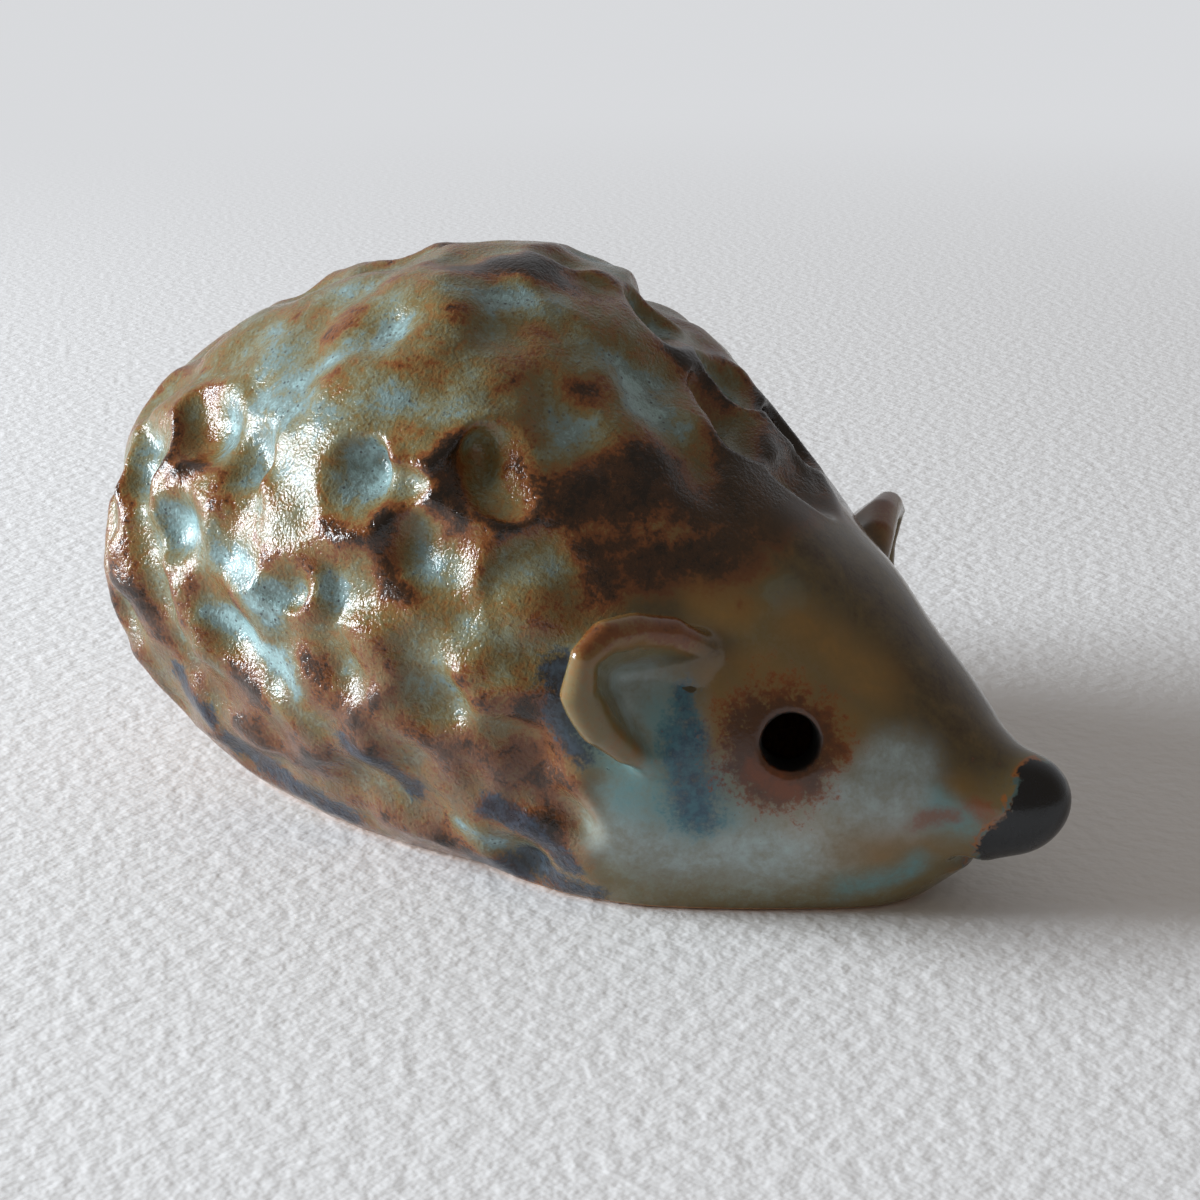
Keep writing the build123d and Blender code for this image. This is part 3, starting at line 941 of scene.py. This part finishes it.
def glaze_measures(points):
    """Everything the glaze shader asks about the points of the skin."""
    flat, depth = unpressed(points)
    x, y, z = flat.T
    angle = around_body(flat)
    long, short = WANDER_LENGTHS
    waves = [ripple(x, y, z, long, seed) + 0.5 * ripple(x, y, z, short, seed + 10) for seed in (21, 22, 23)]
    wandered = flat + WANDER * np.stack(waves, 1)
    # both sides take the strokes of the right side, except close to the crest
    wandered[:, 1] = -np.abs(wandered[:, 1]) * np.where(np.abs(angle) < CREST_BAND, -np.sign(y), 1)
    underside = ramp(np.abs(angle), *LOW_ANGLES) * ramp(x, *LOW_PLACES)
    ridge = np.clip(sample(bulge, points) / RIDGE_HEIGHT, *RIDGE_RANGE)
    rim = np.clip(sample(rims, points) / RIM_HEIGHT, *RIM_RANGE)
    # how far into an eye hole each point lies, for the painted shade there
    hole = np.zeros(len(points))
    for opening in openings:
        deep = (points - opening) @ outward(opening)
        off = np.sqrt(np.maximum(((points - opening) ** 2).sum(1) - deep**2, 0))
        hole += ramp(deep, *HOLE_DEPTHS) * (off < EYE_RADIUS + HOLE_HALO) * (deep > -EYE_DEPTH)
    bare = ramp(points[:, 2], *BARE_HEIGHTS) + (depth > BARE_INSIDE)
    face = ramp(x - np.interp(np.abs(angle), FUR_ANGLE, FUR_X), *FUR_EDGE)
    painted = streaked(wandered)
    thickness = OLIVE + FACE_GAIN * face - RIDGE_LOSS * ridge - RIM_LOSS * (1 - face) * rim
    darkened = (1 - face) * np.clip(-painted, 0, DARKEST)
    snout = points[:, 0] - NOSE_SLANT * (points[:, 2] - NOSE_HEIGHT)
    ragged = NOSE_RAGGED * ripple(*points.T, NOSE_RAGGED_LENGTH, seed=31)
    on_skin = ramp(depth, *PAINTED_DEPTHS)
    return {
        "thickness": thickness - LOW_LOSS * underside + painted,
        "mottle": (1 - FACE_CALM * face) * (1 - DARK_CALM * darkened),
        "low": underside,
        "face": face,
        "nose": ramp(snout + ragged, *NOSE_EDGE),
        **{name: on_skin * brush(strokes, wandered) for name, strokes in PATCHES.items()},
        "hole": hole,
        "bare": np.where(hole > 0, 0, bare),
    }


streaks = sum(len(strokes) for _, _, strokes in STREAKS.values())
print(streaks + sum(len(strokes) for strokes in PATCHES.values()), "brush strokes on each side")

# %% [markdown]
# ## Shader sums
#
# Node trees are wired faster in words than by dragging. `Flow` wraps one socket, so that noise and masks
# can be added and multiplied like numbers. Its `node` method makes any node from its type, settings and
# inputs, and `plug` feeds a node that is there already.


# %% Shader tools
def plug(node, inputs):
    """Feeds a node: a flow is linked to its input, and a plain number or colour is set."""
    for key, value in inputs.items():
        if isinstance(value, Flow):
            value.tree.links.new(value.socket, node.inputs[key])
        else:
            node.inputs[key].default_value = value


class Flow:
    """A value on its way through a node tree."""

    def __init__(self, tree, socket=None):
        self.tree = tree
        self.socket = socket

    def node(self, kind, settings=None, inputs=None, out=0):
        """Makes a node and follows one of its outputs."""
        made = self.tree.nodes.new(kind)
        for key, value in (settings or {}).items():
            setattr(made, key, value)
        plug(made, inputs or {})
        return Flow(self.tree, made.outputs[out])

    def output(self, name):
        """Another output of the node that this value comes from."""
        return Flow(self.tree, self.socket.node.outputs[name])

    def sum(self, operation, first, second):
        """Joins two values with a Math node."""
        return self.node("ShaderNodeMath", {"operation": operation}, {0: first, 1: second})

    def __add__(self, other):
        return self.sum("ADD", self, other)

    def __radd__(self, other):
        return self.sum("ADD", other, self)

    def __sub__(self, other):
        return self.sum("SUBTRACT", self, other)

    def __rsub__(self, other):
        return self.sum("SUBTRACT", other, self)

    def __mul__(self, other):
        return self.sum("MULTIPLY", self, other)

    def __rmul__(self, other):
        return self.sum("MULTIPLY", other, self)

    def fade(self, start, end, low=0.0, high=1.0):
        """Rises smoothly from low at start to high at end."""
        values = {"Value": self, "From Min": start, "From Max": end, "To Min": low, "To Max": high}
        return self.node("ShaderNodeMapRange", {"interpolation_type": "SMOOTHSTEP"}, values)

    def mix(self, first, second):
        """A colour that goes from first to second as this value goes from 0 to 1."""
        # a Mix node has its two colours at 6 and 7, after the sockets for numbers and vectors
        return self.node("ShaderNodeMix", {"data_type": "RGBA"}, {0: self, 6: first, 7: second}, out=2)


def tint(red, green, blue):
    """A colour written as 0 to 255, in the linear values that shaders use."""
    shares = [c / 255 for c in (red, green, blue)]
    return (*(s / 12.92 if s < 0.04045 else ((s + 0.055) / 1.055) ** 2.4 for s in shares), 1.0)


def new_material(name):
    """A new material, its place in millimetres, its shader node and its output node."""
    material = bpy.data.materials.new(name)
    material.use_nodes = True
    tree = material.node_tree
    place = Flow(tree).node("ShaderNodeTexCoord", out="Object")
    in_mm = place.node("ShaderNodeVectorMath", {"operation": "SCALE"}, {0: place, "Scale": 1 / MM})
    return material, in_mm, tree.nodes["Principled BSDF"], tree.nodes["Material Output"]


def cloud(place, size, detail=2.0, rough=0.5, distort=0.0):
    """Noise around 0, with features of about one size in millimetres."""
    values = {"Vector": place, "Scale": 1 / size, "Detail": detail, "Roughness": rough, "Distortion": distort}
    return place.node("ShaderNodeTexNoise", {}, values) - 0.5


CLAY_ROUGHNESS = 0.85


def fired_clay(place, grain):
    """The colour of bare clay, with a grain of a size in millimetres."""
    return (cloud(place, grain, detail=3.0) + 0.5).fade(0.3, 0.7).mix(tint(166, 118, 78), tint(190, 142, 98))


print("tools ready for", len(clay_pieces), "pieces of clay")

# %% [markdown]
# ## The running glaze
#
# One glaze covers the whole animal and runs across the joints, so one material in one set of coordinates
# serves every piece. Its colour is a walk through the tones of the glaze as the thickness grows. Noise of
# four sizes is added to the thickness first, so every edge breaks up into the mottling of a glaze that has
# moved in the kiln. Specks, the patches, among them one of painted shade, the dark nose and the painted
# shade that turns the eye holes near black are then laid over it one after another.

# %% Running glaze
glaze, glaze_mm, shader, output = new_material("running_glaze")


def measure(name):
    """One of the glaze measures that the pieces carry."""
    return glaze_mm.node("ShaderNodeAttribute", {"attribute_name": name}, out="Fac")


slow = cloud(glaze_mm, 7.0)
middling = cloud(glaze_mm, 2.4, detail=3.0, rough=0.6, distort=0.6)
fine = cloud(glaze_mm, 0.8, detail=3.0, rough=0.65)
grit = cloud(glaze_mm, 0.33, rough=0.6)
mottle = measure("mottle")
thickness = measure("thickness") + (0.5 * slow + 0.65 * middling) * mottle
thickness = thickness + (0.5 * fine + 0.35 * grit) * mottle.fade(0.0, 1.0, 0.25, 1.0)

# the glaze's tones, each at the thickness where it is purest
TONES = [
    (0.00, tint(28, 18, 12)), (0.13, tint(58, 35, 19)), (0.25, tint(108, 62, 30)),
    (0.36, tint(118, 88, 50)), (0.48, tint(108, 95, 62)), (0.62, tint(114, 114, 92)),
    (0.78, tint(110, 128, 126)), (1.00, tint(140, 168, 170)),
]
ground = TONES[0][1]
for (before, _), (here, tone) in zip(TONES, TONES[1:]):
    ground = thickness.fade(before, here).mix(ground, tone)
dull = measure("low") * (middling + 0.5).fade(0.35, 0.65) * thickness.fade(0.5, 0.7, 0.55, 0.0)
ground = dull.mix(ground, tint(96, 74, 64))
blue_share = thickness.fade(0.56, 0.78)


def dots(size, least, most):
    """Round specks: one in each cell of about the size in millimetres, of many sizes, most of them small."""
    cells = glaze_mm.node("ShaderNodeTexVoronoi", {}, {"Vector": glaze_mm, "Scale": 1 / size})
    chance = cells.node("ShaderNodeSeparateColor", {}, {0: cells.output("Color")})
    edge = chance.fade(0.0, 1.0, least, most) + 0.25 * grit
    return (edge - cells).fade(0.0, 0.08)


specks = dots(0.46, -0.1, 0.34)
flecks = dots(0.42, -0.3, 0.36)
ground = (specks * blue_share * mottle * 0.75).mix(ground, tint(50, 48, 52))
ground = (flecks * (1.0 - blue_share) * thickness.fade(0.1, 0.3) * mottle * 0.5).mix(ground, tint(74, 46, 26))
broken = 1.0 + 1.6 * middling + 1.0 * fine + 0.5 * grit
speckled = 0.6 * middling + 0.9 * fine + 0.7 * grit


def patch(name, strength, tone, sharp=None):
    """Lays a patch over the ground: airbrushed, or broken into a speckled edge between two covers."""
    if sharp:
        cover = (measure(name) + speckled).fade(*sharp)
    else:
        cover = measure(name) * broken
    return (cover * strength).mix(ground, tone)


# painted shade over the top of the snout and the front end of the ear
ground = patch("painted_shade", 0.75, tint(62, 46, 28))
ground = patch("gold", 0.65, tint(130, 97, 48))
ground = patch("pale", 0.6, tint(160, 178, 182))
ground = patch("teal", 0.7, tint(92, 136, 140))
ground = patch("run", 0.9, fine.fade(-0.15, 0.15).mix(tint(30, 62, 88), tint(54, 102, 118)), (0.25, 0.95))
ring_tone = (measure("ring") + 0.5 * fine).fade(0.3, 0.7).mix(tint(126, 64, 22), tint(66, 30, 10))
ground = patch("ring", 0.9, ring_tone, (0.25, 0.6))
ground = patch("rust_dabs", 0.7, tint(122, 60, 22), (0.3, 1.1))
ground = patch("navy", 0.9, fine.fade(-0.12, 0.15).mix(tint(18, 25, 38), tint(44, 58, 74)), (0.35, 0.85))
nose = measure("nose")
nose_edge = nose + (0.8 * fine + 2.0 * middling) * nose.fade(0.0, 0.25)
nose_rim = middling.fade(-0.06, 0.06).mix(tint(58, 92, 96), tint(146, 84, 34))
ground = (nose_edge.fade(0.15, 0.4) * 0.8).mix(ground, nose_rim)
ground = nose_edge.fade(0.4, 0.62).mix(ground, tint(7, 11, 17))
# painted shade: the eye holes turn near black
ground = measure("hole").mix(ground, tint(8, 6, 5))

GLAZE_RELIEF = 0.06 * MM
GLAZE_IOR = 1.52
on_face = (measure("face") + middling).fade(0.2, 0.8)
height = (1.7 * grit + 0.8 * fine + 0.8 * middling) * on_face.fade(0.0, 1.0, 1.0, 0.15)
bump = {"Strength": 1.0, "Distance": GLAZE_RELIEF, "Height": height}
relief = glaze_mm.node("ShaderNodeBump", {}, bump, out="Normal")
gloss = (fine + 0.5).fade(0.4, 0.7, 0.1, 0.2) + 0.5 * measure("hole") + nose.fade(0.4, 0.7, 0.0, 0.1)
plug(shader, {"Base Color": ground, "Normal": relief, "Roughness": gloss, "IOR": GLAZE_IOR})

bare_clay = {"Base Color": fired_clay(glaze_mm, 0.9), "Roughness": CLAY_ROUGHNESS}
bare = glaze_mm.node("ShaderNodeBsdfPrincipled", {}, bare_clay)
covers = {0: measure("bare").fade(0.3, 0.7), 1: Flow(glaze_mm.tree, shader.outputs[0]), 2: bare}
plug(output, {"Surface": glaze_mm.node("ShaderNodeMixShader", {}, covers)})
print(len(glaze_mm.tree.nodes), "nodes in the glaze")

# %% [markdown]
# ## Bare clay
#
# The luting coils lie unseen inside. They are plain fired clay, a warm matt tan with a fine grain.

# %% Bare clay
stoneware, clay_mm, clay_shader, _ = new_material("bare_stoneware")
plug(clay_shader, {"Base Color": fired_clay(clay_mm, 0.6), "Roughness": CLAY_ROUGHNESS})
for node in ("seam_coil", "floor_coil"):
    coil = bpy.data.objects[node]
    coil.data.materials.clear()
    coil.data.materials.append(stoneware)
print("coils in bare clay")

# %% [markdown]
# ## The pieces as Blender objects
#
# Each cut piece becomes a mesh in metres. Its skin takes its normals from the slope of the clay, so light
# crosses a joint without a line. Caps keep the flat normal of their own face. Each piece then rides the
# body and stands for the CAD node it replaces.


# %% Make the pieces
def make_piece(name, piece):
    """An object of one clay piece, with its glaze measures, normals, body and material slot."""
    points, faces, is_cap = piece
    mesh = bpy.data.meshes.new(name)
    mesh.from_pydata((points * MM).tolist(), [], faces.tolist())
    for key, values in glaze_measures(points).items():
        layer = mesh.attributes.new(key, "FLOAT", "POINT")
        layer.data.foreach_set("value", np.asarray(values, np.float32))
    mesh.polygons.foreach_set("use_smooth", np.ones(len(faces), bool))
    flat = face_normals(points, faces)[:, None]
    corner_normals = np.where(is_cap[:, None, None], flat, normals_at(points)[faces])
    mesh.normals_split_custom_set(corner_normals.reshape(-1, 3).tolist())
    mesh.materials.append(glaze)
    made = add_object(name, mesh)
    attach(made, "root")
    return made


for name, (piece, slot) in clay_pieces.items():
    made = make_piece("glazed_" + name, piece)
    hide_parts("back_shell" if name.startswith("back_shell") else name)
    print(made.name, [round(d / MM, 1) for d in made.dimensions], "mm")

# %% [markdown]
# ## Paper, window and room
#
# The figurine stands on white paper. A window to the left does nearly all the lighting, in two panes. The
# low one is what the glaze reflects, and the high one only lights the top. The daylight is cool. Of the
# room, the wall behind the paper is pale, and the part behind the camera is dim and warm.

# %% Stage and light
HALF_PAPER = 4.0
PAPER_TONE = (0.82, 0.82, 0.83, 1)
PAPER_ROUGHNESS = 0.9
PAPER_GRAIN = 1.6
PAPER_RELIEF = 0.3 * MM
WASH_TONE = (0.69, 0.70, 0.72, 1)
WASH_FROM = 80.0
WASH_FULL = 500.0

floor_mesh = bpy.data.meshes.new("paper")
corners = [(x * HALF_PAPER, y * HALF_PAPER, 0) for x, y in ((-1, -1), (1, -1), (1, 1), (-1, 1))]
floor_mesh.from_pydata(corners, [], [(0, 1, 2, 3)])
paper = add_object("paper", floor_mesh)
paper_material, paper_mm, paper_shader, paper_output = new_material("paper")
bump = {"Strength": 0.7, "Distance": PAPER_RELIEF, "Height": cloud(paper_mm, PAPER_GRAIN)}
tooth = paper_mm.node("ShaderNodeBump", {}, bump, out="Normal")
plug(paper_shader, {"Base Color": PAPER_TONE, "Normal": tooth, "Roughness": PAPER_ROUGHNESS})
# far from the figurine the camera sees an even wash in place of the lit paper
far = paper_mm.node("ShaderNodeVectorMath", {"operation": "LENGTH"}, {0: paper_mm}, "Value")
seen = paper_mm.node("ShaderNodeLightPath", out="Is Camera Ray")
wash = paper_mm.node("ShaderNodeEmission", {}, {"Color": WASH_TONE})
lit = Flow(paper_mm.tree, paper_shader.outputs[0])
sheet = {0: far.fade(WASH_FROM, WASH_FULL) * seen, 1: lit, 2: wash}
plug(paper_output, {"Surface": paper_mm.node("ShaderNodeMixShader", {}, sheet)})
floor_mesh.materials.append(paper_material)

WINDOW_DISTANCE = 0.9
DAYLIGHT = (0.89, 0.95, 1.0)
# each pane's size, height and distance behind the figurine's middle in metres, and its power in watts
PANES = {"low_pane": (0.3, 0.15, 0.06, 9.4), "high_pane": (0.5, 0.38, 0.02, 10.4)}
for name, (size, height, back, power) in PANES.items():
    pane = add_object(name, bpy.data.lights.new(name, "AREA"))
    pane.data.size = size
    pane.data.energy = power
    pane.data.color = DAYLIGHT
    behind = to_camera * Vector((1, 1, 0)) * back
    pane.location = view_right * -WINDOW_DISTANCE - behind + Vector((0, 0, height))
    turn_towards(pane, BODY_MIDDLE)
    pane.visible_glossy = name == "low_pane"
    print(name, "at", [round(c, 2) for c in pane.location], "m")

DIM_ROOM = (0.25, 0.215, 0.18, 1)
PALE_WALL = (0.46, 0.465, 0.48, 1)
world = bpy.data.worlds.new("room")
bpy.context.scene.world = world
world.use_nodes = True
direction = Flow(world.node_tree).node("ShaderNodeTexCoord", out="Generated")
ahead = {0: direction, 1: -to_camera}
facing = direction.node("ShaderNodeVectorMath", {"operation": "DOT_PRODUCT"}, ahead, "Value")
room_colour = facing.fade(-0.4, 0.7).mix(DIM_ROOM, PALE_WALL)
plug(world.node_tree.nodes["Background"], {"Color": room_colour})
bpy.context.scene.view_settings.view_transform = "Standard"
